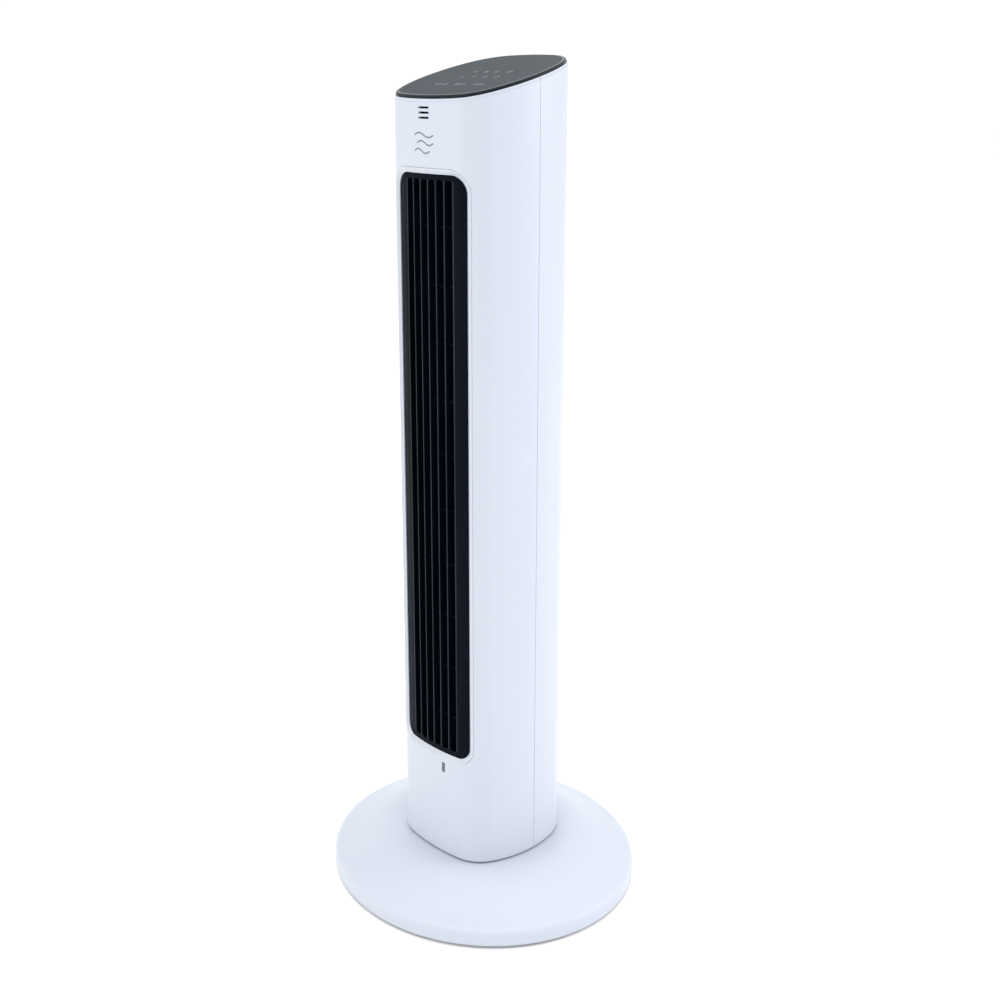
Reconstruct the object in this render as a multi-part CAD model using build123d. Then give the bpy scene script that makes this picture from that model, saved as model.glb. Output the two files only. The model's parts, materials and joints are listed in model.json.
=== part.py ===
from build123d import *
import os
from math import atan, cos, degrees, hypot, pi, radians, sin, sqrt

# A tower fan: an oscillating column with a cross-flow impeller on a weighted oval base.
# Millimetres, +Z up, the air outlet faces -Y, origin under the middle of the base at the floor.

# ---- tower section, in plan -------------------------------------------------------------
HALF_W = 66.8            # half width at the widest point
HALF_D = 64.0            # half depth on the centre line
CROWN_FRONT = 12.5       # how far each face bows out between the theoretical corners
CROWN_SIDE = 23.7
CROWN_REAR = 13.5
R_FRONT = 34.0           # corner radii in plan
R_REAR = 42.0
WALL = 2.6
TOWER_Z0 = 39.8          # lower edge of the tower shells
RIM_Z = 731.2            # slanted shell rim, measured on the tower axis
RIM_SLOPE = 0.2648       # rise of the rim towards the rear
SEAM_Y = 2.2             # vertical parting line of the two shells
SEAM_GAP = 0.4

# ---- air outlet -------------------------------------------------------------------------
OUT_HALF = 42.2          # visible half width of the outlet insert
OUT_Z0, OUT_Z1 = 139.5, 655.6
OUT_R_TOP, OUT_R_LOW = 15.0, 12.0
RECESS = 3.4             # outlet insert sits this far behind the shell surface
BEAD = 4.6               # width of the trim bead around the outlet
FLARE = 3.2              # the bead slopes down to the insert
GROOVE = 0.2             # shadow groove around the bead
SLATS = 5
SLAT_PITCH = 9.5
SLAT_T = 1.2
SLAT_DEPTH = 10.0
TIE_RIBS = 10
TIE_Z0, TIE_PITCH = 175.8, 48.6

# ---- control panel ----------------------------------------------------------------------
PANEL_T = 2.5
PANEL_INSET = 1.0        # the rim shows as a narrow ledge round the panel
PANEL_ROUND = 2.0
RIM_STEP = 0.5           # shallow step round the shell below the panel
RIM_STEP_Z = 2.4
BOARD_DROP = 9.0         # control board below the panel's lower face

# ---- base -------------------------------------------------------------------------------
BASE_RX, BASE_RY = 148.8, 137.7
BASE_R = sqrt(BASE_RX * BASE_RY)   # the base is modelled round, then stretched to the oval
FOOT_H = 6.0
SKIRT_Z = 2.5
RIM_WALL_Z = 12.5
RIM_TOP_Z = 18.0
PLATEAU_R, PLATEAU_Z = 78.0, 38.2
COVER_T = 2.6
PLATE_T = 3.0
WELL_R, WELL_Z = 44.0, FOOT_H + PLATE_T + 0.3   # the well stands just clear of the base plate

# ---- swivel and its drive ---------------------------------------------------------------
PIVOT_R = 14.0           # pivot tube on the tower floor
PIVOT_BORE = 9.0
PIVOT_FIT = 0.05         # running clearance, radial
SOCKET_R = 18.0
GEAR_N, PINION_N = 48, 16
MODULE = 1.0
DRIVE_R = (GEAR_N + PINION_N) * MODULE / 2
FLOOR_Z, FLOOR_T = 40.8, 3.0

# ---- fan --------------------------------------------------------------------------------
FAN_Y = 6.0              # impeller axis, behind the tower axis
FAN_R = 36.0
FAN_Z0, FAN_Z1 = 150.0, 645.0
FAN_BLADES = 28
FAN_BAYS = 5
SHAFT_R = 4.0
STUB_R = 3.0
DECK_LOW_Z, DECK_TOP_Z, DECK_T = 140.0, 654.0, 3.0

FRONT_R = (HALF_W**2 + CROWN_FRONT**2) / (2 * CROWN_FRONT)
SIDE_R = (HALF_D**2 + CROWN_SIDE**2) / (2 * CROWN_SIDE)
REAR_R = (HALF_W**2 + CROWN_REAR**2) / (2 * CROWN_REAR)
FRONT_C = (0.0, FRONT_R - HALF_D)
SIDE_C = (HALF_W - SIDE_R, 0.0)
REAR_C = (0.0, HALF_D - REAR_R)
TILT = degrees(atan(RIM_SLOPE))
BIG = 900.0


def corner(c1, r1, c2, r2, ysign):
    """Where two circles cross, on the +X side and on the given side in Y."""
    dx, dy = c2[0] - c1[0], c2[1] - c1[1]
    d = hypot(dx, dy)
    a = (r1 * r1 - r2 * r2 + d * d) / (2 * d)
    h = sqrt(r1 * r1 - a * a)
    both = [(c1[0] + (a * dx + s * h * dy) / d, c1[1] + (a * dy - s * h * dx) / d) for s in (1, -1)]
    return max(both, key=lambda p: p[0] + ysign * p[1])


def section(inset=0.0):
    """The tower's plan outline, moved inwards by inset."""
    fx, fy = corner(FRONT_C, FRONT_R - inset, SIDE_C, SIDE_R - inset, -1)
    rx, ry = corner(REAR_C, REAR_R - inset, SIDE_C, SIDE_R - inset, 1)
    outline = Curve() + [
        ThreePointArc((-fx, fy), (0, inset - HALF_D), (fx, fy)),
        ThreePointArc((fx, fy), (HALF_W - inset, 0), (rx, ry)),
        ThreePointArc((rx, ry), (0, HALF_D - inset), (-rx, ry)),
        ThreePointArc((-rx, ry), (inset - HALF_W, 0), (-fx, fy)),
    ]
    face = make_face(outline)
    face = fillet(face.vertices().sort_by(Axis.Y)[:2], R_FRONT - inset)
    return fillet([v for v in face.vertices() if v.Y > 0 and abs(v.X) > 20
                   and hypot(abs(v.X) - rx, v.Y - ry) < 0.01], R_REAR - inset)


def column(inset, z0, z1):
    return extrude(Pos(0, 0, z0) * section(inset), z1 - z0)


def slanted(drop, height=200.0):
    """Everything above the rim plane lowered by drop, square to the plane."""
    return Pos(0, 0, RIM_Z) * Rot(TILT, 0, 0) * Pos(0, 0, height / 2 - drop) * Box(400, 400, height)


def on_panel(x, y, drop=0.0):
    """A place on the slanted panel, x and y measured along it, drop below its lower face."""
    return Pos(0, 0, RIM_Z) * Rot(TILT, 0, 0) * Pos(x, y, -drop)


def slab_y(y0, y1):
    return Pos(0, (y0 + y1) / 2, BIG / 2) * Box(400, y1 - y0, 2 * BIG)


def window(grow, y0, y1):
    """A prism along Y with the outlet's outline, grown by grow."""
    half, z0, z1 = OUT_HALF + grow, OUT_Z0 - grow, OUT_Z1 + grow
    face = Plane.XZ * Pos(0, (z0 + z1) / 2) * Rectangle(2 * half, z1 - z0)
    face = fillet(face.vertices().group_by(Axis.Z)[-1], OUT_R_TOP + grow)
    face = fillet(face.vertices().group_by(Axis.Z)[0], OUT_R_LOW + grow)
    return Pos(0, y1, 0) * extrude(face, y1 - y0)


def rod(r, z0, z1, x=0.0, y=0.0):
    return Pos(x, y, (z0 + z1) / 2) * Cylinder(r, z1 - z0)


def ring(r_out, r_in, z0, z1, x=0.0, y=0.0):
    return rod(r_out, z0, z1, x, y) - rod(r_in, z0 - 1, z1 + 1, x, y)


def block(x0, x1, y0, y1, z0, z1):
    return Pos((x0 + x1) / 2, (y0 + y1) / 2, (z0 + z1) / 2) * Box(x1 - x0, y1 - y0, z1 - z0)


def rod_y(r, y0, y1, x, z):
    return Pos(x, (y0 + y1) / 2, z) * Rot(90, 0, 0) * Cylinder(r, y1 - y0)


def rear_y(x, inset=0.0):
    """Y of the rear face at x."""
    return REAR_C[1] + sqrt((REAR_R - inset) ** 2 - x * x)


def oval(shape):
    """Stretches a shape turned about Z to the base's oval plan."""
    return scale(shape, by=(BASE_RX / BASE_R, BASE_RY / BASE_R, 1))


def oval_plate(r, z0, z1):
    """A flat oval plate with the base's proportions, r being its mean radius."""
    return extrude(Pos(0, 0, z0) * Ellipse(r * BASE_RX / BASE_R, r * BASE_RY / BASE_R), z1 - z0)


def turned(*curves):
    """Revolves a closed profile, drawn as X = radius and Y = height, about Z."""
    return revolve(Plane.XZ * make_face(Curve() + list(curves)), Axis.Z)


def gear(teeth, z0, z1, bore, first_tooth, backlash=0.25):
    """Spur gear about Z with involute flanks; first_tooth is a tooth's direction in degrees."""
    rp = teeth * MODULE / 2
    rb, ra, rr = rp * cos(radians(20)), rp + 0.95 * MODULE, rp - 1.25 * MODULE

    def inv(r):
        t = sqrt(max((r / rb) ** 2 - 1, 0))
        return t - atan(t)

    half = pi / (2 * teeth) - backlash / (2 * rp) + inv(rp)
    start = max(rb, rr)
    radii = ([rr] if rr < rb else []) + [start + (ra - start) * i / 2 for i in range(3)]
    flank = [(r, half - inv(r)) for r in radii]
    points = []
    for k in range(teeth):
        a = radians(first_tooth) + 2 * pi * k / teeth
        points += [(r * cos(a - h), r * sin(a - h)) for r, h in flank]
        points += [(r * cos(a + h), r * sin(a + h)) for r, h in reversed(flank)]
    blank = extrude(Pos(0, 0, z0) * make_face(Polyline(*points, close=True)), z1 - z0)
    return blank - rod(bore, z0 - 1, z1 + 1) if bore else blank


def fused(shapes):
    shapes = list(shapes)
    return shapes[0].fuse(*shapes[1:]) if len(shapes) > 1 else shapes[0]


def save(shape, node):
    solids = shape.solids()
    shape = solids[0] if len(solids) == 1 else Compound(children=list(solids))
    export_step(shape, f"parts/{node}.step")


os.makedirs("parts", exist_ok=True)

# ======================================= base =============================================
# Cover: a thick rounded rim, a dome that climbs to the tower and a well for the swivel.
SPREAD = BASE_R - RIM_WALL_Z / 2.6
dome = [
    Line((BASE_R - COVER_T, SKIRT_Z), (BASE_R - 0.8, SKIRT_Z)),
    Spline([(BASE_R - 0.8, SKIRT_Z), (BASE_R, SKIRT_Z + 3.0)], tangents=[(1, 0.4), (0, 1)]),
    Line((BASE_R, SKIRT_Z + 3.0), (BASE_R, RIM_WALL_Z)),
    Spline([(BASE_R, RIM_WALL_Z), (SPREAD, RIM_TOP_Z)], tangents=[(0, 1), (-1, 0.28)]),
    Spline([(SPREAD, RIM_TOP_Z), (112.0, 28.4), (PLATEAU_R, PLATEAU_Z)],
           tangents=[(-1, 0.28), (-1, 0.03)]),
    Line((PLATEAU_R, PLATEAU_Z), (WELL_R, PLATEAU_Z)),
    Line((WELL_R, PLATEAU_Z), (WELL_R, WELL_Z)),
    Line((WELL_R, WELL_Z), (WELL_R + COVER_T, WELL_Z)),
    Line((WELL_R + COVER_T, WELL_Z), (WELL_R + COVER_T, PLATEAU_Z - COVER_T)),
    Line((WELL_R + COVER_T, PLATEAU_Z - COVER_T), (PLATEAU_R, PLATEAU_Z - COVER_T)),
    Spline([(PLATEAU_R, PLATEAU_Z - COVER_T), (111.4, 25.7), (SPREAD - 0.8, RIM_TOP_Z - 2.6)],
           tangents=[(1, -0.03), (1, -0.28)]),
    Spline([(SPREAD - 0.8, RIM_TOP_Z - 2.6), (BASE_R - COVER_T, RIM_WALL_Z)],
           tangents=[(1, -0.28), (0, -1)]),
    Line((BASE_R - COVER_T, RIM_WALL_Z), (BASE_R - COVER_T, SKIRT_Z)),
]
base_cover = oval(turned(*dome))
BOLTS = [(90 * cos(radians(a)), 84 * sin(radians(a))) for a in (30, 90, 150, 210, 270, 330)]
FEET = [(122 * cos(radians(a)), 112 * sin(radians(a))) for a in (0, 60, 120, 180, 240, 300)]
NOTCH = 5.0              # half width of the cord notch in the rear wall
base_cover -= block(-NOTCH, NOTCH, BASE_RY - 12, BASE_RY + 5, 0, 12.0)
save(base_cover, "base_cover")

# Base plate closing the underside.
base_plate = oval_plate(BASE_R - COVER_T - 0.4, FOOT_H, FOOT_H + PLATE_T) - rod(SOCKET_R, 0, 20)
base_plate -= block(-NOTCH, NOTCH, BASE_RY - 20, BASE_RY + 5, 0, 20)
for r in (62, 100):
    base_plate += oval_plate(r + 1, FOOT_H - 1.5, FOOT_H) - oval_plate(r - 1, FOOT_H - 2, FOOT_H + 1)
base_plate -= [rod(1.7, 0, 20, x, y) for x, y in BOLTS]
save(base_plate, "base_plate")

# Steel weight on the plate.
ballast = ring(115, 52, FOOT_H + PLATE_T, FOOT_H + PLATE_T + 3)
ballast -= [rod(1.5, 0, 30, x, y) for x, y in BOLTS]
save(ballast, "ballast_plate")

# Six soft feet, one design.
foot = Cone(8.0, 9.5, FOOT_H, align=(Align.CENTER, Align.CENTER, Align.MIN))
foot -= rod(4.5, -1, 1.2)
save(Compound(children=[Pos(x, y, 0) * foot for x, y in FEET]), "rubber_feet")

# Screws that hold the weight to the plate.
base_screw = fillet(rod(3.4, 3.8, FOOT_H).edges().group_by(Axis.Z)[0], 0.8) + rod(1.5, FOOT_H, 14)
base_screw -= block(-2.4, 2.4, -0.5, 0.5, 3, 4.8) + block(-0.5, 0.5, -2.4, 2.4, 3, 4.8)
save(Compound(children=[Pos(x, y, 0) * base_screw for x, y in BOLTS]), "base_screws")

# Cord inlet bush, slid into the notch in the rear wall of the base.
half = NOTCH - 0.2
bush = block(-half, half, BASE_RY - 12, BASE_RY - 0.6, 2.7, 11.8)
bush -= rod_y(2.9, BASE_RY - 20, BASE_RY + 5, 0, 7.2)
for y in (BASE_RY - 9.5, BASE_RY - 7.0, BASE_RY - 4.5):
    bush -= block(-half, -half + 0.8, y, y + 1, 0, 20) + block(half - 0.8, half, y, y + 1, 0, 20)
save(bush, "cord_bush")

# Fixed half of the swivel: flanged socket with the fixed gear round it.
socket = rod(SOCKET_R, FOOT_H, 34.0) + rod(30.0, FOOT_H + PLATE_T, FOOT_H + PLATE_T + 3)
for k in range(6):
    socket += Rot(0, 0, 60 * k + 30) * block(SOCKET_R - 1, 29, -1.2, 1.2, 11, 20)
socket -= rod(PIVOT_R + PIVOT_FIT, 0, 40)
save(socket, "swivel_socket")
save(gear(GEAR_N, 25.0, 34.0, SOCKET_R, 90.0), "fixed_gear")
save(ring(58.0, 50.0, PLATEAU_Z + 0.1, FLOOR_Z - 0.1), "glide_ring")

# ============================ tower: floor, shells and panel ==============================
floor = column(WALL + 0.2, FLOOR_Z, FLOOR_Z + FLOOR_T) + rod(PIVOT_R, 5.5, FLOOR_Z + 1)
lip = column(WALL + 0.2, FLOOR_Z + 1, FLOOR_Z + 9) - column(WALL + 2.2, FLOOR_Z, FLOOR_Z + 10)
floor += lip
floor -= rod(PIVOT_BORE, 0, 60) + rod(3.3, 30, 60, 0, DRIVE_R)
save(floor, "tower_floor")
save(ring(20.0, PIVOT_BORE, 3.3, 5.5), "pivot_retainer")

rim = slanted(0.0)
tube = column(0, TOWER_Z0, 775) - column(WALL, TOWER_Z0 - 1, 776)
foot_edge = tube.faces().sort_by(Axis.Z)[0].outer_wire().edges()
tube = fillet(foot_edge, 0.8) - rim
tube -= slanted(RIM_STEP_Z) - column(RIM_STEP, 600, 900)

# Front shell, with the outlet opening and three vent slots above it.
VENTS = (699.8, 703.8, 707.8)
front = tube & slab_y(-120, SEAM_Y - SEAM_GAP / 2)
front -= window(BEAD + GROOVE, -90, -20)
for z in VENTS:
    front -= Pos(0, -60, z) * Rot(90, 0, 0) * extrude(SlotOverall(13.0, 1.7), 20, both=True)
for x in (-58.0, 58.0):
    for z in (60.0, 380.0, 690.0):
        front += (rod_y(4.0, -38, SEAM_Y - 1.2, x * 0.93, z) & column(WALL / 2, 0, 900))
save(front, "front_shell")

# Rear shell: its lip laps inside the front shell and closes the parting line.
INTAKE_HALF, INTAKE_Z0, INTAKE_Z1 = 46.0, 128.0, 668.0
rear = tube & slab_y(SEAM_Y + SEAM_GAP / 2, 120)
lap = (column(WALL, TOWER_Z0 + 12, 775) - column(WALL + 1.4, 0, 776)) & slab_y(SEAM_Y - 4, SEAM_Y + 6)
rear += lap - slanted(0.0)
rear -= block(-INTAKE_HALF - 0.4, INTAKE_HALF + 0.4, 30, 90, INTAKE_Z0 - 0.4, INTAKE_Z1 + 0.4)
SCREWS = [(x, z) for x in (-36.0, 36.0) for z in (78.0, 704.0)]
for x, z in SCREWS:
    rear += rod_y(5.0, 42, rear_y(x) - 1.5, x, z)
    rear -= rod_y(3.6, rear_y(x) - 3.2, 90, x, z) + rod_y(1.7, 30, 90, x, z)
GRIP_Z = 694.0
rear -= Pos(0, 62, GRIP_Z) * Box(56, 20, 16)
save(rear, "rear_shell")

# Hand grip cup let into the rear shell above the intake.
grip = Pos(0, 52, GRIP_Z) * Box(60, 30, 20) - Pos(0, 54, GRIP_Z) * Box(55.4, 30.1, 15.4)
grip = grip & column(WALL + 0.1, 600, 800)
grip += (Pos(0, 60, GRIP_Z) * Box(55.6, 20, 15.6) - Pos(0, 60, GRIP_Z) * Box(52, 30, 12)) \
    & column(0.6, 600, 800)
save(grip, "hand_grip")

# Seam screws, heads sunk in the rear shell.
screws = []
for x, z in SCREWS:
    y = rear_y(x) - 3.2
    head = rod_y(3.3, y, y + 2.0, x, z) - block(x - 2.2, x + 2.2, y + 1, y + 3, z - 0.5, z + 0.5)
    screws.append(head - block(x - 0.5, x + 0.5, y + 1, y + 3, z - 2.2, z + 2.2)
                  + rod_y(1.5, y - 18, y, x, z))
save(Compound(children=screws), "shell_screws")

# Bead round the outlet, slightly proud of the shell.
skin = column(-0.3, OUT_Z0 - 20, OUT_Z1 + 20) - column(RECESS, 0, 900)
bead = skin & (window(BEAD, -90, -20) - window(0.0, -91, -19))
front_face = bead.faces().sort_by(Axis.Y)[0]
flare = [e for e in front_face.edges() if abs(e.center().X) < OUT_HALF + 1
         and OUT_Z0 - 1 < e.center().Z < OUT_Z1 + 1]
bead = chamfer(flare, FLARE)
save(bead, "outlet_bead")

# Outlet insert: a crowned plate, five deep slats and the tie ribs behind them.
shelf = column(RECESS, OUT_Z0 - 12, OUT_Z1 + 12) - column(RECESS + 2.4, 0, 900)
insert = shelf & window(BEAD + 2.6, -90, -20)
gap = SLAT_PITCH - SLAT_T
SLOT_Z0, SLOT_Z1 = OUT_Z0 + 4.5, OUT_Z1 - 4.5
slots = []
for k in range(SLATS + 1):
    x = (k - SLATS / 2) * SLAT_PITCH
    face = Plane.XZ * Pos(x, (SLOT_Z0 + SLOT_Z1) / 2) * RectangleRounded(gap, SLOT_Z1 - SLOT_Z0, 3.6)
    slots.append(Pos(0, -20, 0) * extrude(face, 60))
insert -= slots
edge = (SLATS + 1) / 2 * SLAT_PITCH
deep = column(RECESS, SLOT_Z0 - 2, SLOT_Z1 + 2) - column(RECESS + SLAT_DEPTH, 0, 900)
fins = [block((k - (SLATS - 1) / 2) * SLAT_PITCH - SLAT_T / 2, (k - (SLATS - 1) / 2) * SLAT_PITCH
              + SLAT_T / 2, -90, -30, SLOT_Z0 - 2, SLOT_Z1 + 2) for k in range(SLATS)]
fins += [block(s * edge - SLAT_T / 2, s * edge + SLAT_T / 2, -90, -30, SLOT_Z0 - 2, SLOT_Z1 + 2)
         for s in (-1, 1)]
insert += [deep & f for f in fins]
back = column(RECESS + 4.0, OUT_Z0, OUT_Z1) - column(RECESS + SLAT_DEPTH, 0, 900)
insert += [back & block(-edge, edge, -90, -30, TIE_Z0 + k * TIE_PITCH - 0.8, TIE_Z0 + k * TIE_PITCH + 0.8)
           for k in range(TIE_RIBS)]
save(insert, "outlet_grille")

# Intake grille: a crowned panel with rows of louvre slots, in the rear shell.
intake = (column(0, INTAKE_Z0, INTAKE_Z1) - column(WALL, 0, 900)) \
    & block(-INTAKE_HALF, INTAKE_HALF, 30, 90, INTAKE_Z0, INTAKE_Z1)
louvres = []
rows = int((INTAKE_Z1 - INTAKE_Z0 - 20) // 9)
for k in range(rows):
    z = INTAKE_Z0 + 14 + 9 * k
    louvres += [block(x - 19, x + 19, 30, 90, z - 2.4, z + 2.4) for x in (-21.5, 21.5)]
intake -= louvres
save(intake, "intake_grille")

# Dust filter behind the intake: a frame and its cross bars with the mesh between them.
leaf = column(WALL + 0.6, INTAKE_Z0 + 4, INTAKE_Z1 - 4) - column(WALL + 2.4, 0, 900)
leaf = leaf & block(-44, 44, 30, 90, 0, 900)
save(leaf, "dust_filter")

# Control panel: one slanted plate with a softened edge.
panel = (column(PANEL_INSET, 680, 790) & slanted(0.0)) - slanted(-PANEL_T)
top_face = panel.faces().sort_by(SortBy.AREA)[-2:].sort_by(Axis.Z)[-1]
panel = fillet(top_face.outer_wire().edges(), PANEL_ROUND)
save(panel, "control_panel")

# Control board with its parts, and the lights and touch pads between it and the panel.
board = on_panel(0, -2, BOARD_DROP) * Pos(0, 0, -0.8) * Box(88, 74, 1.6)
for x, y, w, d, h in ((-20, 18, 22, 16, 3), (18, 22, 14, 10, 4), (30, -24, 8, 8, 5), (-32, -10, 6, 12, 3)):
    board += on_panel(x, y, BOARD_DROP + 1.6) * Pos(0, 0, -h / 2) * Box(w, d, h)
save(board, "control_board")
LIGHTS = [(-14.3 + 13.6 * i, 6.7 - 15.0 * j) for j in range(2) for i in range(4)]
KEYS = [(-15.0 + 22.4 * i, -31.5) for i in range(3)]
guides = [on_panel(x, y, BOARD_DROP / 2) * Cylinder(2.0, BOARD_DROP) for x, y in LIGHTS]
guides.append(on_panel(6.1, -0.8, 5.0) * (Box(50, 22, 1.6) - Box(40, 6, 3)))
save(fused(guides), "light_guide")
pad = Cylinder(6.5, BOARD_DROP) - Pos(0, 0, -1.5) * Cylinder(5.3, BOARD_DROP)
pads = [on_panel(x, y, BOARD_DROP / 2) * pad for x, y in KEYS]
save(Compound(children=pads), "touch_pads")
eye = on_panel(38, 14, 2.6) * Box(6, 7, 5) + on_panel(38, 14, 7) * Box(5, 1.2, 4)
save(eye, "infrared_receiver")

# Room temperature sensor on a small card behind the vent slots.
card = block(-12, 12, -54.0, -52.4, 694, 712)
card += Pos(0, -56, 706) * Sphere(1.8) + rod_y(0.7, -56, -52.4, 0, 706)
card += block(-4, 4, -52.4, -48.4, 696, 702)
save(card, "room_sensor")

# ====================================== fan unit ==========================================
INNER = WALL + 1.7       # clears the shells' walls and the lap
DECK_FACE = section(INNER) & Pos(0, 2.5) * Rectangle(200, 93.0)


deck_low = extrude(Pos(0, 0, DECK_LOW_Z) * DECK_FACE, DECK_T) - rod(12, 100, 200, 0, FAN_Y)
for x, y in ((-44, -22), (44, -22), (-44, 22), (44, 22)):
    deck_low += rod(4.0, DECK_LOW_Z - 6, DECK_LOW_Z, x, FAN_Y + y)
save(deck_low, "lower_deck")
deck_top = extrude(Pos(0, 0, DECK_TOP_Z) * DECK_FACE, DECK_T)
deck_top += rod(13, DECK_TOP_Z + 1, DECK_TOP_Z + 12, 0, FAN_Y)
deck_top -= rod(9, DECK_TOP_Z - 5, DECK_TOP_Z + 20, 0, FAN_Y)
save(deck_top, "upper_deck")


def polar(r, a):
    return (r * cos(radians(a)), FAN_Y + r * sin(radians(a)))


# Scroll: the long curved wall that wraps the impeller and opens to the outlet.
spiral = [(39.0, 132), (40.2, 155), (42.0, 180), (45.0, 203), (49.0, 222)]
inner = [polar(r, a) for r, a in spiral]
outer = [polar(r + 2.0, a) for r, a in spiral]
end_in, end_out = (-31.5, -46.0), (-33.5, -46.0)
wall = Curve() + [
    Spline(inner + [end_in]), Line(end_in, end_out),
    Spline([end_out] + outer[::-1]), Line(outer[0], inner[0]),
]
scroll = extrude(Pos(0, 0, DECK_LOW_Z + DECK_T) * make_face(wall), DECK_TOP_Z - DECK_LOW_Z - DECK_T)
for k in range(5):
    z = DECK_LOW_Z + 60 + 100 * k
    scroll += extrude(Pos(0, 0, z) * (section(INNER) & Pos(-53, 4) * Rectangle(20.0, 30)), 2.0)
save(scroll, "duct_scroll")

# Cut-off wall: the tongue that stops air going round with the impeller.
tongue = Polyline((33.5, -46.0), (34.5, -24.0), (37.0, -18.0), (47.0, -17.0), (47.0, -15.0),
                  (36.0, -15.6), (32.4, -22.5), (31.5, -46.0), close=True)
cutoff = extrude(Pos(0, 0, DECK_LOW_Z + DECK_T) * make_face(tongue), DECK_TOP_Z - DECK_LOW_Z - DECK_T)
save(cutoff, "duct_cutoff")

# Impeller: end discs, stiffening rings and forward curved blades.
blade = make_face(Curve() + [
    ThreePointArc((FAN_R - 8.5, -1.0), (FAN_R - 4.4, 1.0), (FAN_R - 0.5, 4.4)),
    Line((FAN_R - 0.5, 4.4), (FAN_R - 1.2, 4.9)),
    ThreePointArc((FAN_R - 1.2, 4.9), (FAN_R - 4.9, 1.8), (FAN_R - 8.5, -0.1)),
    Line((FAN_R - 8.5, -0.1), (FAN_R - 8.5, -1.0)),
])
impeller = rod(FAN_R, FAN_Z0, FAN_Z0 + 2.5) + rod(10, FAN_Z0 - 4, FAN_Z0 + 10)
impeller += rod(FAN_R, FAN_Z1 - 2.5, FAN_Z1) + rod(8, FAN_Z1 - 8, FAN_Z1)
bay = (FAN_Z1 - FAN_Z0) / FAN_BAYS
for k in range(1, FAN_BAYS):
    impeller += ring(FAN_R, FAN_R - 9.5, FAN_Z0 + k * bay - 1, FAN_Z0 + k * bay + 1)
impeller -= rod(SHAFT_R, FAN_Z0 - 10, FAN_Z0 + 8)
impeller -= rod(STUB_R, FAN_Z1 - 6, FAN_Z1 + 1)
one = extrude(Pos(0, 0, FAN_Z0 + 1) * blade, FAN_Z1 - FAN_Z0 - 2)
impeller = impeller.fuse(*[Rot(0, 0, 360 * k / FAN_BLADES) * one for k in range(FAN_BLADES)])
save(Pos(0, FAN_Y, 0) * impeller, "impeller")
save(Pos(0, FAN_Y, 0) * rod(SHAFT_R, 90, FAN_Z0 + 8), "motor_shaft")
save(Pos(0, FAN_Y, 0) * ring(23.0, SHAFT_R, 98, 133), "motor_rotor")
save(Pos(0, FAN_Y, 0) * rod(STUB_R, FAN_Z1 - 6, DECK_TOP_Z + 11), "stub_shaft")

# Fan motor: wound stator in a can whose ends carry the shaft, and the mount that holds it.
stator = ring(37.0, 23.5, 97, 134, 0, FAN_Y)
for k in range(12):
    stator -= Pos(0, FAN_Y, 0) * Rot(0, 0, 30 * k) * block(26, 33, -2.2, 2.2, 90, 140)
save(stator, "motor_stator")
can = rod(39.0, 94, 137, 0, FAN_Y) - rod(37.0, 97, 134, 0, FAN_Y)
can -= rod(SHAFT_R + PIVOT_FIT, 80, 150, 0, FAN_Y)
for k in range(6):
    can -= Pos(0, FAN_Y, 0) * Rot(0, 0, 60 * k) * rod(4.0, 90, 96.99, 17, 0)
    can -= Pos(0, FAN_Y, 0) * Rot(0, 0, 60 * k) * rod(4.0, 90, 98, 17, 0)
save(can, "motor_can")
mount = ring(54.0, 39.2, 131, 134, 0, FAN_Y) & Pos(0, FAN_Y, 130) * Box(110, 84, 20)
mount = mount & column(INNER, 0, 900)
save(mount, "motor_mount")

# Upper bearing: bronze bush in a soft ring in the upper deck.
save(ring(6.0, STUB_R + PIVOT_FIT, DECK_TOP_Z + 1, DECK_TOP_Z + 11, 0, FAN_Y), "bearing_bush")
save(ring(9.0, 6.0, DECK_TOP_Z, DECK_TOP_Z + 12, 0, FAN_Y), "bearing_rubber")

# ============================== swing drive and power board ==============================
drive = rod(19.0, FLOOR_Z + FLOOR_T, FLOOR_Z + FLOOR_T + 17, 0, DRIVE_R + 6)
drive += block(-25, 25, DRIVE_R + 2.5, DRIVE_R + 9.5, FLOOR_Z + FLOOR_T, FLOOR_Z + FLOOR_T + 1.2)
drive -= rod(3.3, 0, FLOOR_Z + FLOOR_T + 9, 0, DRIVE_R)
save(drive, "swing_motor")
pinion = gear(PINION_N, 26.0, 33.5, 0, -90 + 180 / PINION_N) + rod(3.0, 33.5, FLOOR_Z + FLOOR_T + 8)
save(Pos(0, DRIVE_R, 0) * pinion, "swing_pinion")

power = block(-36, 36, -46.0, -44.4, 53, 91)
power += block(-30, -10, -44.4, -28, 58, 80) + block(8, 30, -44.4, -38, 56, 66)
power += rod_y(5.0, -44.4, -29, 4, 80) + rod_y(5.0, -44.4, -29, 18, 80)
save(power, "power_board")
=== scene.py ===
import json
import math

import bmesh
import bpy
from mathutils import Matrix, Vector
from mathutils.bvhtree import BVHTree
from mathutils.geometry import convex_hull_2d


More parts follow.
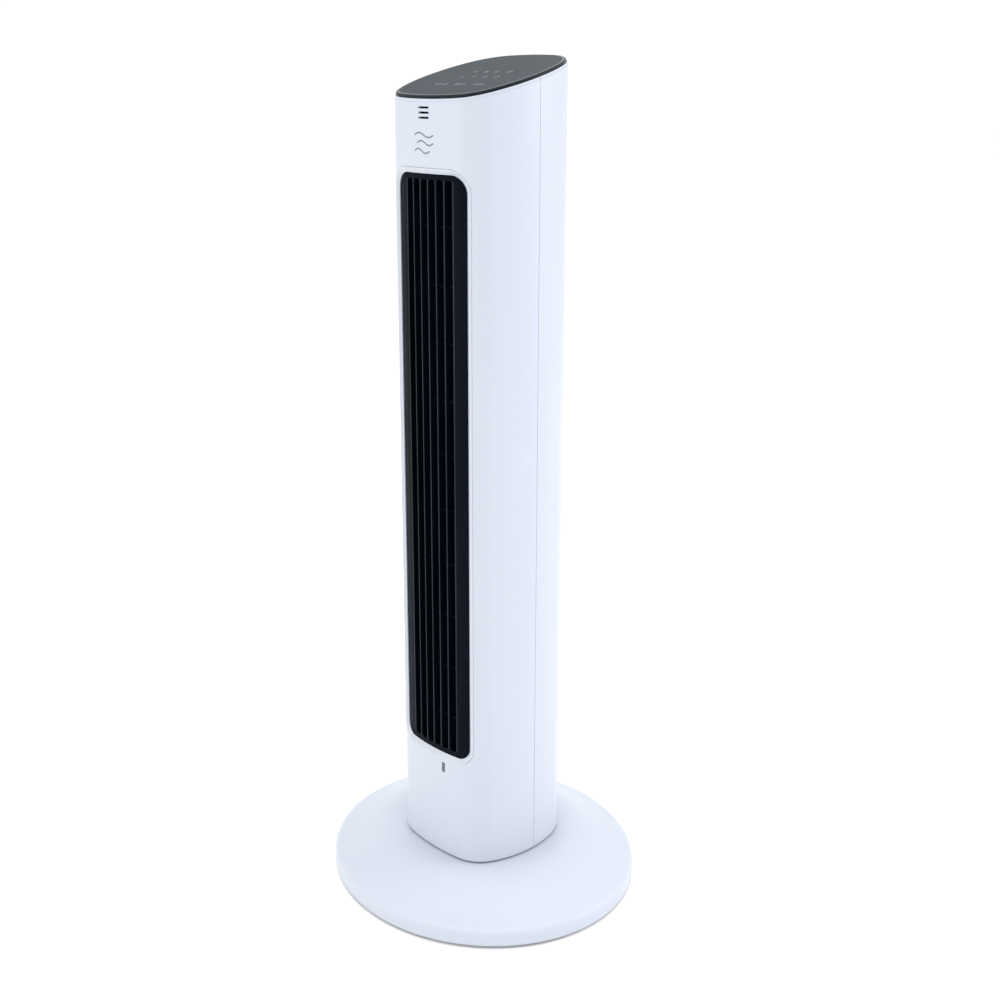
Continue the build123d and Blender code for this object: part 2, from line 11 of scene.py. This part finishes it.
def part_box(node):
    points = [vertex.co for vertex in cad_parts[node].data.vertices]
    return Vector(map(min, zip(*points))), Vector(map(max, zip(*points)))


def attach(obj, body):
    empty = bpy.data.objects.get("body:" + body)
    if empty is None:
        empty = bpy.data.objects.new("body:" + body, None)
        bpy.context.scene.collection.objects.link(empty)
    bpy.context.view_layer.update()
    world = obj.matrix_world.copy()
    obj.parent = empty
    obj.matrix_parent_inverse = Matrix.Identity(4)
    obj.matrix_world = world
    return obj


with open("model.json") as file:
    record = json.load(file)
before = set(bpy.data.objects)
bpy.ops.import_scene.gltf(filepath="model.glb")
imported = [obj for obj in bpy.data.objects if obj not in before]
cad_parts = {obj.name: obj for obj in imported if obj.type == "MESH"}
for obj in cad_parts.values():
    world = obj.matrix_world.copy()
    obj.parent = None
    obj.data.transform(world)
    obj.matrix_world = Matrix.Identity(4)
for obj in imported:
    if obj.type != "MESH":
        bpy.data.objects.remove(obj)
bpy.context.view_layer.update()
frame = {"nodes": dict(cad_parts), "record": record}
NODES = frame["nodes"]


# ------------------------------------------------------------------ surfaces to print on
class Surface:
    """A CAD node's surface, found by casting a ray at it."""

    def __init__(self, node):
        obj = NODES[node]
        self.low, self.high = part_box(node)
        self.tree = BVHTree.FromPolygons([v.co.copy() for v in obj.data.vertices],
                                         [tuple(p.vertices) for p in obj.data.polygons])

    def hit(self, start, direction):
        place, normal, _, _ = self.tree.ray_cast(Vector(start), Vector(direction))
        if place is None:
            raise ValueError("nothing to print on")
        return place, normal


front = Surface("front_shell")
panel_top = Surface("control_panel")
PANEL_MID_Y = (panel_top.low[1] + panel_top.high[1]) / 2
PANEL_UP = panel_top.hit((0, PANEL_MID_Y, 2), (0, 0, -1))[1]
PANEL_ALONG = Vector((0, PANEL_UP.z, -PANEL_UP.y))
PANEL_MID = panel_top.hit((0, PANEL_MID_Y, 2), (0, 0, -1))[0]
SLAT_PITCH, SLAT_T = 0.0095, 0.0012
SOFT = 0.0002            # soft edge of a painted border
SLAT_FIELD = 3 * SLAT_PITCH + SLAT_T / 2     # half width of the slotted field in the outlet insert
insert_low, insert_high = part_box("outlet_grille")
SLOT_MID = (insert_low[2] + insert_high[2]) / 2
SLOT_END = 0.0117        # the slots stop this far short of the insert's ends
SLOT_HALF = (insert_high[2] - insert_low[2]) / 2 - SLOT_END


def on_front(x, z):
    """The front shell's outside at x and z, with its outward direction."""
    return front.hit((x, front.low[1] - 0.2, z), (0, 1, 0))


def on_panel(u, v):
    """A place on the panel's top, u to the right and v up the slope from its middle."""
    return panel_top.hit(PANEL_MID + Vector((u, 0, 0)) + PANEL_ALONG * v + PANEL_UP * 0.05, -PANEL_UP)


# ------------------------------------------------------------------ node helpers
def new_material(name):
    mat = bpy.data.materials.new(name)
    mat.use_nodes = True
    tree = mat.node_tree
    bsdf = tree.nodes["Principled BSDF"]
    return mat, tree, bsdf


def coords(tree, scale=(1, 1, 1)):
    """Object coordinates in metres, stretched by scale."""
    tc = tree.nodes.new("ShaderNodeTexCoord")
    mp = tree.nodes.new("ShaderNodeMapping")
    mp.inputs["Scale"].default_value = scale
    tree.links.new(tc.outputs["Object"], mp.inputs["Vector"])
    return mp.outputs["Vector"]


def noise(tree, vec, scale, detail=4.0, rough=0.5, lacunarity=2.0):
    n = tree.nodes.new("ShaderNodeTexNoise")
    n.inputs["Scale"].default_value = scale
    n.inputs["Detail"].default_value = detail
    n.inputs["Roughness"].default_value = rough
    n.inputs["Lacunarity"].default_value = lacunarity
    tree.links.new(vec, n.inputs["Vector"])
    return n.outputs["Fac"]


def ramp(tree, fac, stops):
    r = tree.nodes.new("ShaderNodeValToRGB")
    els = r.color_ramp.elements
    while len(els) < len(stops):
        els.new(0.5)
    for e, (p, c) in zip(els, stops):
        e.position = p
        e.color = (*c, 1) if len(c) == 3 else c
    tree.links.new(fac, r.inputs["Fac"])
    return r.outputs["Color"]


def remap(tree, fac, low, high, in_low=0.0, in_high=1.0):
    m = tree.nodes.new("ShaderNodeMapRange")
    m.inputs["From Min"].default_value = in_low
    m.inputs["From Max"].default_value = in_high
    m.inputs["To Min"].default_value = low
    m.inputs["To Max"].default_value = high
    tree.links.new(fac, m.inputs["Value"])
    return m.outputs["Result"]


def math_node(tree, op, a, b=None):
    m = tree.nodes.new("ShaderNodeMath")
    m.operation = op
    for i, v in enumerate((a, b)):
        if v is None:
            continue
        if isinstance(v, (int, float)):
            m.inputs[i].default_value = v
        else:
            tree.links.new(v, m.inputs[i])
    return m.outputs["Value"]


def mix_color(tree, fac, a, b, mode="MIX"):
    m = tree.nodes.new("ShaderNodeMix")
    m.data_type = "RGBA"
    m.blend_type = mode
    for sock, v in ((m.inputs["Factor"], fac), (m.inputs["A"], a), (m.inputs["B"], b)):
        if isinstance(v, (int, float)):
            sock.default_value = v
        elif isinstance(v, tuple):
            sock.default_value = (*v, 1) if len(v) == 3 else v
        else:
            tree.links.new(v, sock)
    return m.outputs["Result"]


def bump(tree, height, strength, distance, normal=None):
    b = tree.nodes.new("ShaderNodeBump")
    b.inputs["Strength"].default_value = strength
    b.inputs["Distance"].default_value = distance
    tree.links.new(height, b.inputs["Height"])
    if normal is not None:
        tree.links.new(normal, b.inputs["Normal"])
    return b.outputs["Normal"]


def edge_mask(tree, low=0.52, high=0.62):
    """1 on convex edges, from the mesh's own curvature."""
    g = tree.nodes.new("ShaderNodeNewGeometry")
    return remap(tree, g.outputs["Pointiness"], 0.0, 1.0, low, high)


def plastic(name, color, rough=0.35, spread=0.06, grain=0.15, grain_scale=900, tint=0.02,
            spec=0.5, coat=0.0, coat_rough=0.2, wear=0.0):
    """Injection-moulded plastic: fine grain, slow colour drift, handling marks, rubbed edges."""
    mat, tree, bsdf = new_material(name)
    vec = coords(tree)
    broad = noise(tree, vec, 6.0, 3.0, 0.55)
    fine = noise(tree, vec, grain_scale, 2.0, 0.6)
    smudge = noise(tree, coords(tree, (1, 1, 0.35)), 28.0, 5.0, 0.62)
    lo = tuple(max(0.0, c * (1 - tint)) for c in color)
    hi = tuple(min(1.0, c * (1 + tint)) for c in color)
    base = ramp(tree, broad, [(0.35, lo), (0.65, hi)])
    if wear:
        worn = tuple(min(1.0, c + wear) for c in color)
        base = mix_color(tree, math_node(tree, "MULTIPLY", edge_mask(tree), 0.6), base, worn)
    tree.links.new(base, bsdf.inputs["Base Color"])
    r1 = remap(tree, smudge, rough - spread, rough + spread, 0.3, 0.7)
    r2 = remap(tree, fine, -0.02, 0.02)
    tree.links.new(math_node(tree, "ADD", r1, r2), bsdf.inputs["Roughness"])
    n1 = bump(tree, fine, grain, 0.00012)
    n2 = bump(tree, broad, 0.04, 0.004, n1)
    tree.links.new(n2, bsdf.inputs["Normal"])
    bsdf.inputs["Specular IOR Level"].default_value = spec
    bsdf.inputs["Coat Weight"].default_value = coat
    bsdf.inputs["Coat Roughness"].default_value = coat_rough
    return mat


def metal(name, color, rough=0.3, spread=0.08, streak=(1, 1, 40), scratch=0.25, rust=0.0):
    mat, tree, bsdf = new_material(name)
    bsdf.inputs["Metallic"].default_value = 1.0
    lines = noise(tree, coords(tree, streak), 60.0, 6.0, 0.65)
    cloud = noise(tree, coords(tree), 40.0, 4.0, 0.6)
    lo = tuple(c * 0.82 for c in color)
    base = ramp(tree, cloud, [(0.3, lo), (0.7, color)])
    if rust:
        spots = remap(tree, noise(tree, coords(tree), 220.0, 5.0, 0.7), 0.0, rust, 0.6, 0.8)
        base = mix_color(tree, spots, base, (0.32, 0.17, 0.09))
    tree.links.new(base, bsdf.inputs["Base Color"])
    tree.links.new(remap(tree, lines, rough - spread, rough + spread, 0.3, 0.7), bsdf.inputs["Roughness"])
    tree.links.new(bump(tree, lines, scratch, 0.0001), bsdf.inputs["Normal"])
    return mat


def rubber(name, color, rough=0.75):
    mat, tree, bsdf = new_material(name)
    vec = coords(tree)
    grit = noise(tree, vec, 1400.0, 3.0, 0.7)
    cloud = noise(tree, vec, 50.0, 4.0, 0.6)
    dust_and_highlight = tuple(min(1.0, c + 0.06) for c in color)
    tree.links.new(ramp(tree, cloud, [(0.4, color), (0.75, dust_and_highlight)]), bsdf.inputs["Base Color"])
    tree.links.new(remap(tree, cloud, rough - 0.1, rough + 0.12, 0.3, 0.7), bsdf.inputs["Roughness"])
    tree.links.new(bump(tree, grit, 0.4, 0.0002), bsdf.inputs["Normal"])
    bsdf.inputs["Specular IOR Level"].default_value = 0.35
    return mat


def panel_plastic():
    """Matte dark plate whose rounded edge is a little glossier than its flat top, and coloured darker as
    painted shade.
    """
    mat, tree, bsdf = new_material("panel_grey_plastic")
    vec = coords(tree)
    tc = tree.nodes.new("ShaderNodeTexCoord")
    dot = tree.nodes.new("ShaderNodeVectorMath")
    dot.operation = "DOT_PRODUCT"
    dot.inputs[1].default_value = PANEL_UP
    tree.links.new(tc.outputs["Normal"], dot.inputs[0])
    flat = remap(tree, dot.outputs["Value"], 0.0, 1.0, 0.955, 0.995)
    fine = noise(tree, vec, 1500.0, 2.0, 0.6)
    cloud = noise(tree, vec, 22.0, 5.0, 0.6)
    top = ramp(tree, cloud, [(0.35, (0.021, 0.031, 0.040)), (0.65, (0.025, 0.036, 0.046))])
    # painted shade: the rounded edge, turned away from up, gets a much darker colour than the flat top
    edge = ramp(tree, cloud, [(0.35, (0.003, 0.006, 0.011)), (0.65, (0.005, 0.009, 0.015))])
    tree.links.new(mix_color(tree, flat, edge, top), bsdf.inputs["Base Color"])
    tree.links.new(math_node(tree, "ADD", remap(tree, flat, 0.32, 0.56), remap(tree, fine, -0.03, 0.03)),
                   bsdf.inputs["Roughness"])
    tree.links.new(bump(tree, fine, 0.14, 0.0001), bsdf.inputs["Normal"])
    bsdf.inputs["Specular IOR Level"].default_value = 0.16
    return mat


def grille_plastic():
    """Black insert: dark satin plate, with a painted highlight along the slats' leading edges."""
    mat, tree, bsdf = new_material("grille_black_plastic")
    vec = coords(tree)
    fine = noise(tree, vec, 1000.0, 2.0, 0.6)
    cloud = noise(tree, coords(tree, (1, 1, 0.3)), 30.0, 5.0, 0.6)
    tc = tree.nodes.new("ShaderNodeTexCoord")
    place, facing = (tree.nodes.new("ShaderNodeSeparateXYZ") for _ in range(2))
    tree.links.new(tc.outputs["Object"], place.inputs["Vector"])
    tree.links.new(tc.outputs["Normal"], facing.inputs["Vector"])
    across = math_node(tree, "ABSOLUTE", place.outputs["X"])
    off_slat = math_node(tree, "PINGPONG", across, SLAT_PITCH / 2)
    on_slat = remap(tree, off_slat, 1.0, 0.0, SLAT_T / 2, SLAT_T / 2 + SOFT)
    in_field = remap(tree, across, 1.0, 0.0, SLAT_FIELD, SLAT_FIELD + SOFT)
    inside = math_node(tree, "MULTIPLY", on_slat, in_field)
    above_mid = math_node(tree, "ABSOLUTE", math_node(tree, "SUBTRACT", place.outputs["Z"], SLOT_MID))
    between_ends = remap(tree, above_mid, 1.0, 0.0, SLOT_HALF - 0.002, SLOT_HALF)
    inside = math_node(tree, "MULTIPLY", inside, between_ends)
    forward = remap(tree, facing.outputs["Y"], 1.0, 0.0, -0.9, -0.6)
    # painted highlight: the front-facing slat edges get a lighter colour, standing in for light caught on
    # them
    dust_and_highlight = math_node(tree, "MULTIPLY", math_node(tree, "MULTIPLY", inside, forward),
                      remap(tree, cloud, 0.55, 1.0, 0.3, 0.7))
    plate = ramp(tree, cloud, [(0.3, (0.0012, 0.0026, 0.0066)), (0.7, (0.0020, 0.0038, 0.0090))])
    tree.links.new(mix_color(tree, dust_and_highlight, plate, (0.034, 0.038, 0.047)), bsdf.inputs["Base Color"])
    rough = remap(tree, cloud, 0.36, 0.5, 0.3, 0.7)
    tree.links.new(math_node(tree, "ADD", rough, remap(tree, fine, -0.03, 0.03)), bsdf.inputs["Roughness"])
    tree.links.new(bump(tree, fine, 0.18, 0.00012), bsdf.inputs["Normal"])
    bsdf.inputs["Specular IOR Level"].default_value = 0.04
    return mat


MATS = {
    "shell_white": plastic("shell_white_plastic", (0.525, 0.565, 0.645), 0.40, 0.05, 0.10, 1100, 0.008,
                           spec=0.4, coat=0.1, coat_rough=0.3),
    "bead_white": plastic("bead_white_plastic", (0.53, 0.568, 0.640), 0.26, 0.04, 0.05, 1100, 0.006,
                          spec=0.5, coat=0.3, coat_rough=0.15),
    "grille_black": grille_plastic(),
    "panel_grey": panel_plastic(),
    "dark_plastic": plastic("inner_dark_plastic", (0.10, 0.10, 0.135), 0.55, 0.08, 0.3, 700, 0.2, spec=0.3),
    "impeller_black": plastic("impeller_black_plastic", (0.11, 0.085, 0.105), 0.4, 0.08, 0.2, 700, 0.2,
                              wear=0.03),
    "acetal": plastic("acetal_plastic", (0.70, 0.69, 0.64), 0.38, 0.06, 0.15, 600, 0.02),
    "rubber": rubber("soft_rubber", (0.025, 0.025, 0.027)),
    "contact_rubber": rubber("contact_rubber", (0.25, 0.26, 0.28), 0.65),
    "clear_plastic": plastic("light_guide_plastic", (0.72, 0.76, 0.8), 0.2, 0.05, 0.1, 900, 0.02, spec=0.6),
    "dark_lens": plastic("infrared_lens_plastic", (0.03, 0.008, 0.012), 0.12, 0.04, 0.03, 900, 0.1, coat=0.6),
    "plated_steel": metal("plated_steel", (0.58, 0.59, 0.6), 0.34),
    "screw_steel": metal("screw_steel", (0.42, 0.43, 0.45), 0.3),
    "shaft_steel": metal("shaft_steel", (0.66, 0.67, 0.69), 0.18),
    "rotor_steel": metal("rotor_steel", (0.33, 0.34, 0.35), 0.4, rust=0.3),
    "copper_winding": metal("copper_winding", (0.62, 0.3, 0.14), 0.35, streak=(1, 1, 90)),
    "bronze": metal("bronze_bush", (0.5, 0.35, 0.17), 0.38),
}


def circuit_board():
    mat, tree, bsdf = new_material("circuit_board")
    vec = coords(tree)
    v = tree.nodes.new("ShaderNodeTexVoronoi")
    v.feature = "DISTANCE_TO_EDGE"
    v.inputs["Scale"].default_value = 260.0
    tree.links.new(vec, v.inputs["Vector"])
    tracks = remap(tree, v.outputs["Distance"], 1.0, 0.0, 0.04, 0.07)
    cloud = noise(tree, vec, 60.0)
    green = ramp(tree, cloud, [(0.3, (0.012, 0.10, 0.045)), (0.7, (0.02, 0.15, 0.07))])
    tree.links.new(mix_color(tree, tracks, green, (0.05, 0.26, 0.12)), bsdf.inputs["Base Color"])
    tree.links.new(remap(tree, cloud, 0.25, 0.45), bsdf.inputs["Roughness"])
    tree.links.new(bump(tree, tracks, 0.3, 0.0001), bsdf.inputs["Normal"])
    return mat


def filter_mesh():
    mat, tree, bsdf = new_material("dust_filter_mesh")
    waves = []
    for axis in ("X", "Z"):
        w = tree.nodes.new("ShaderNodeTexWave")
        w.wave_type = "BANDS"
        w.bands_direction = axis
        w.inputs["Scale"].default_value = 160.0
        tree.links.new(coords(tree), w.inputs["Vector"])
        waves.append(w.outputs["Fac"])
    weave = math_node(tree, "MAXIMUM", *waves)
    tree.links.new(ramp(tree, weave, [(0.4, (0.02, 0.021, 0.024)), (0.8, (0.16, 0.17, 0.18))]),
                   bsdf.inputs["Base Color"])
    tree.links.new(remap(tree, weave, 0.9, 0.6), bsdf.inputs["Roughness"])
    tree.links.new(bump(tree, weave, 0.8, 0.0004), bsdf.inputs["Normal"])
    return mat


MATS["board_green"] = circuit_board()
MATS["filter_mesh"] = filter_mesh()

# ------------------------------------------------------------------ CAD nodes keep their shape
slot_of = {s["node"]: s["material_slot"] for s in frame["record"]["subparts"]}
for name, obj in NODES.items():
    obj.data.materials.clear()
    obj.data.materials.append(MATS[slot_of[name]])

# ------------------------------------------------------------------ printed marks, and a painted highlight line on the panel
LIFT = 0.00006           # how far the ink stands above the surface


def arc(cx, cy, r, start, end, n=10):
    """Points on an arc, angles in degrees."""
    angles = [math.radians(start + (end - start) * k / n) for k in range(n + 1)]
    return [(cx + r * math.cos(a), cy + r * math.sin(a)) for a in angles]


def wave(x0, x1, y, height, n=14):
    """A gentle S from x0 to x1."""
    return [(x0 + (x1 - x0) * k / n, y + height * math.sin(2 * math.pi * k / n)) for k in range(n + 1)]


def refine(points, step):
    """The same line with more points, so that it can follow a curved surface."""
    out = [Vector(points[0])]
    for a, b in zip(points, points[1:]):
        a, b = Vector(a), Vector(b)
        count = max(1, math.ceil((b - a).length / step))
        out += [a.lerp(b, k / count) for k in range(1, count + 1)]
    return out


def strip_sides(points, width):
    """Left and right points of a line of that width, with mitred corners."""
    sides = []
    for k, p in enumerate(points):
        before, after = points[max(k - 1, 0)], points[min(k + 1, len(points) - 1)]
        along = (after - before).normalized()
        across = Vector((-along.y, along.x)) * width / 2
        sides.append((p + across, p - across))
    return sides


def ink(name, lines, width, place, mat, body="tower", step=0.0015):
    """Thin raised strips along lines of 2-D points, laid on the surface that place() finds."""
    bm = bmesh.new()
    for line in lines:
        rows = []
        for left, right in strip_sides(refine(line, step), width):
            row = []
            for p in (left, right):
                spot, normal = place(p.x, p.y)
                row.append((bm.verts.new(spot - normal * LIFT), bm.verts.new(spot + normal * LIFT)))
            rows.append(row)
        for (l0, r0), (l1, r1) in zip(rows, rows[1:]):
            bm.faces.new((l0[1], r0[1], r1[1], l1[1]))
            bm.faces.new((l0[0], l0[1], l1[1], l1[0]))
            bm.faces.new((r0[1], r0[0], r1[0], r1[1]))
    bmesh.ops.recalc_face_normals(bm, faces=bm.faces)
    me = bpy.data.meshes.new(name)
    bm.to_mesh(me)
    bm.free()
    me.materials.append(mat)
    obj = bpy.data.objects.new(name, me)
    bpy.context.scene.collection.objects.link(obj)
    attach(obj, body)
    return obj


def ink_material(name, color, rough=0.5, worn=0.12):
    """Screen-printed ink: slightly uneven cover, fine grain."""
    mat, tree, bsdf = new_material(name)
    cover = noise(tree, coords(tree), 2600.0, 4.0, 0.7)
    thin = tuple(c * (1 - worn) for c in color)
    tree.links.new(ramp(tree, cover, [(0.35, thin), (0.6, color)]), bsdf.inputs["Base Color"])
    tree.links.new(remap(tree, cover, rough - 0.08, rough + 0.08), bsdf.inputs["Roughness"])
    tree.links.new(bump(tree, cover, 0.3, 0.00005), bsdf.inputs["Normal"])
    bsdf.inputs["Specular IOR Level"].default_value = 0.3
    return mat


PALE_INK = ink_material("pale_ink", (0.26, 0.285, 0.31))
DIM_INK = ink_material("dim_ink", (0.17, 0.20, 0.22))
GREY_INK = ink_material("grey_ink", (0.16, 0.17, 0.20))
TICK_INK = ink_material("tick_ink", (0.13, 0.14, 0.17), worn=0.3)


def moved(lines, x, y, size=1.0):
    return [[(x + size * a, y + size * b) for a, b in line] for line in lines]


def digit(n):
    """Seven-segment style figure, 1 wide and 2 high."""
    corners = {"a": [(-0.5, 1), (0.5, 1)], "b": [(0.5, 1), (0.5, 0)], "c": [(0.5, 0), (0.5, -1)],
               "d": [(-0.5, -1), (0.5, -1)], "e": [(-0.5, 0), (-0.5, -1)], "g": [(-0.5, 0), (0.5, 0)]}
    segments = {1: "bc", 2: "abged", 3: "abgcd"}
    return [corners[s] for s in segments[n]]


# Generic symbols, each about 2 units across.
POWER = [arc(0, 0, 1, 120, 420, 20), [(0, 1.25), (0, 0.15)]]
CLOCK = [arc(0, 0, 1, 0, 360, 24), [(0, 0.65), (0, 0), (0.45, -0.1)]]
SWING = [arc(0, -0.6, 1.2, 35, 145, 14), [(-1.25, 0.45), (-0.98, 0.1), (-0.6, 0.32)],
         [(1.25, 0.45), (0.98, 0.1), (0.6, 0.32)], [(0, -0.9), (0, 0.1)]]
FAN = [arc(0.5 * math.cos(math.radians(t)), 0.5 * math.sin(math.radians(t)), 0.5, t + 180, t + 360, 10)
       for t in (90, 210, 330)]
BREEZE = [wave(-1, 1, y, 0.18) for y in (-0.55, 0, 0.55)]
MOON = [arc(0, 0, 1, 70, 290, 16), arc(0.55, 0, 0.98, 108, 252, 14)]
DROP = [arc(0, -0.3, 0.65, -220, 40, 18) + [(0, 1.1)], [(0, 1.1), (-0.5, 0.12)]]
LOCK = [[(-0.7, -0.9), (0.7, -0.9), (0.7, 0.1), (-0.7, 0.1), (-0.7, -0.9)], arc(0, 0.15, 0.5, 0, 180, 12)]


def key_legend(symbol, figure, u, v):
    """A key's symbol with a figure and two short rules beside it."""
    lines = moved(symbol, u - 0.0045, v, 0.0023)
    lines += moved(digit(figure), u + 0.0001, v, 0.0015)
    for rule_v, rule_end in ((-0.0011, 0.0066), (0.0011, 0.0056)):
        lines.append([(u + 0.0026, v + rule_v), (u + rule_end, v + rule_v)])
    return lines


# Places along the panel, over the touch pads and the lights below it.
KEY_STEP, KEY_U, KEY_V = 0.0224, -0.0150, -0.0315
LIGHT_STEP, LIGHT_ROW, LIGHT_U, LIGHT_V = 0.0136, 0.0150, -0.0143, 0.0067
SYMBOL_SIZE = 0.0024
for k, (name, symbol, figure) in enumerate((("power", POWER, 1), ("timer", CLOCK, 2), ("swing", SWING, 3))):
    ink("key_legend_" + name, key_legend(symbol, figure, KEY_U + KEY_STEP * k, KEY_V), 0.0006, on_panel,
        PALE_INK)
rows = ((FAN, BREEZE, MOON, CLOCK), (LOCK, SWING, DROP, POWER))
for j, row in enumerate(rows):
    for i, symbol in enumerate(row):
        faint = j == 1 and i == 0
        lines = moved(symbol, LIGHT_U + LIGHT_STEP * i, LIGHT_V - LIGHT_ROW * j, SYMBOL_SIZE)
        ink("indicator_%d_%d" % (j, i), lines, 0.0005, on_panel, DIM_INK if faint else PALE_INK)


def panel_outline(inset):
    """The flat top's outline, moved inwards, in the panel's own directions."""
    flat = []
    for vert in NODES["control_panel"].data.vertices:
        rel = vert.co - PANEL_MID
        if abs(rel.dot(PANEL_UP)) < 0.00002:
            flat.append(Vector((rel.x, rel.dot(PANEL_ALONG))))
    hull = [flat[k] for k in convex_hull_2d(flat)]
    out = []
    for k, p in enumerate(hull):
        along = (hull[(k + 1) % len(hull)] - hull[k - 1]).normalized()
        inward = Vector((-along.y, along.x))
        if inward.dot(p) > 0:
            inward = -inward
        out.append(p + inward * inset)
    return out + [out[0]]


# Painted highlight: a pale line along the flat top's outer edge, where the rounded edge catches the light,
# drawn like print.
ink("panel_edge_highlight_line", [[tuple(p) for p in panel_outline(0.0006)]], 0.0007, on_panel, PALE_INK, step=0.004)

# Airflow mark above the outlet, below the vents.
bead_low, bead_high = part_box("outlet_bead")
MARK_DROP = 0.016        # below the middle between the bead and the shell's highest point
mark_z = (bead_high[2] + front.high[2]) / 2 - MARK_DROP
AIRFLOW = [wave(-1.0, 1.0, 0.55, 0.16), wave(-0.7, 1.0, 0.0, 0.16), wave(-1.0, 0.6, -0.55, 0.16)]
ink("airflow_mark", moved(AIRFLOW, 0, mark_z, 0.0115), 0.0011, on_front, GREY_INK)

# A small plain tick below the outlet.
TICK_X, TICK_TOP, TICK_LENGTH, TICK_WIDTH = 0.0155, 0.0036, 0.0094, 0.0038
tick_z = bead_low[2] - TICK_TOP
ink("level_tick", [[(TICK_X, tick_z), (TICK_X, tick_z - TICK_LENGTH)]], TICK_WIDTH, on_front, TICK_INK)

# ------------------------------------------------------------------ stage, light and camera
FLOOR_DROP = 0.0002      # the floor lies this far below the feet
FLOOR_RINGS = (0.4, 0.9, 1.6, 2.6, 4.0, 6.0, 9.0, 13.0, 18.0)
FLOOR_SIDES = 96


def wide_floor():
    """A wide pale studio floor."""
    me = bpy.data.meshes.new("studio_floor")
    bm = bmesh.new()
    middle = bm.verts.new((0, 0, -FLOOR_DROP))
    angles = [2 * math.pi * k / FLOOR_SIDES for k in range(FLOOR_SIDES)]
    rings = [[bm.verts.new((r * math.cos(a), r * math.sin(a), -FLOOR_DROP)) for a in angles]
             for r in FLOOR_RINGS]
    for k in range(FLOOR_SIDES):
        bm.faces.new((middle, rings[0][k], rings[0][(k + 1) % FLOOR_SIDES]))
    for a, b in zip(rings, rings[1:]):
        for k in range(FLOOR_SIDES):
            bm.faces.new((a[k], b[k], b[(k + 1) % FLOOR_SIDES], a[(k + 1) % FLOOR_SIDES]))
    bm.to_mesh(me)
    bm.free()
    for p in me.polygons:
        p.use_smooth = True
    o = bpy.data.objects.new("studio_floor", me)
    bpy.context.scene.collection.objects.link(o)
    mat, tree, bsdf = new_material("studio_paper")
    n = noise(tree, coords(tree), 300.0, 3.0)
    tree.links.new(ramp(tree, n, [(0.3, (0.955, 0.955, 0.955)), (0.7, (0.97, 0.97, 0.97))]),
                   bsdf.inputs["Base Color"])
    tree.links.new(remap(tree, n, 0.75, 0.9), bsdf.inputs["Roughness"])
    bsdf.inputs["Specular IOR Level"].default_value = 0.15
    bsdf.inputs["Emission Color"].default_value = (1, 1, 1, 1)
    bsdf.inputs["Emission Strength"].default_value = 0.05
    me.materials.append(mat)
    return o


wide_floor()


def area_light(name, loc, target, size, power, color=(1, 1, 1), size_y=None):
    data = bpy.data.lights.new(name, "AREA")
    data.energy = power
    data.color = color
    data.shape = "RECTANGLE"
    data.size = size
    data.size_y = size_y or size
    o = bpy.data.objects.new(name, data)
    o.location = loc
    o.rotation_euler = (Vector(target) - Vector(loc)).to_track_quat("-Z", "Y").to_euler()
    bpy.context.scene.collection.objects.link(o)
    return o


aim = (0, 0, 0.38)
area_light("key_right", (1.7, 1.8, 1.5), aim, 1.4, 23, (1.0, 0.99, 0.98), 2.0)
area_light("fill_front", (-1.0, -2.4, 1.5), (0, 0, 0.5), 2.0, 13, (1.0, 0.98, 0.93))
area_light("low_camera", (1.8, -1.8, 0.5), (0, 0, 0.1), 1.4, 1, (1.0, 0.99, 0.99))
area_light("top_soft", (0.0, -0.2, 2.8), (0, 0, 0), 2.4, 29, (1, 0.99, 0.98))
area_light("rear_soft", (-1.2, 2.0, 1.8), aim, 2.0, 4, (0.98, 0.99, 1.0))

world = bpy.data.worlds.new("studio_world")
world.use_nodes = True
wt = world.node_tree
bg = wt.nodes["Background"]
bg.inputs["Color"].default_value = (1.0, 1.0, 1.0, 1)
bg.inputs["Strength"].default_value = 1.03
bpy.context.scene.world = world
bpy.context.scene.view_settings.view_transform = "Standard"

cam_data = bpy.data.cameras.new("photo_camera")
cam_data.sensor_width = 36.0
cam_data.lens = 48.0096
cam_data.shift_y = -0.06
cam_data.clip_end = 50
cam = bpy.data.objects.new("photo_camera", cam_data)
bpy.context.scene.collection.objects.link(cam)
cam.location = (0.8389, -0.7783, 0.7336)
YAW, PITCH, ROLL = math.radians(46.36), math.radians(15.34), math.radians(0.10)
cam.rotation_euler = (Matrix.Rotation(YAW, 3, "Z") @ Matrix.Rotation(math.pi / 2 - PITCH, 3, "X")
                      @ Matrix.Rotation(ROLL, 3, "Z")).to_euler()
bpy.context.scene.camera = cam
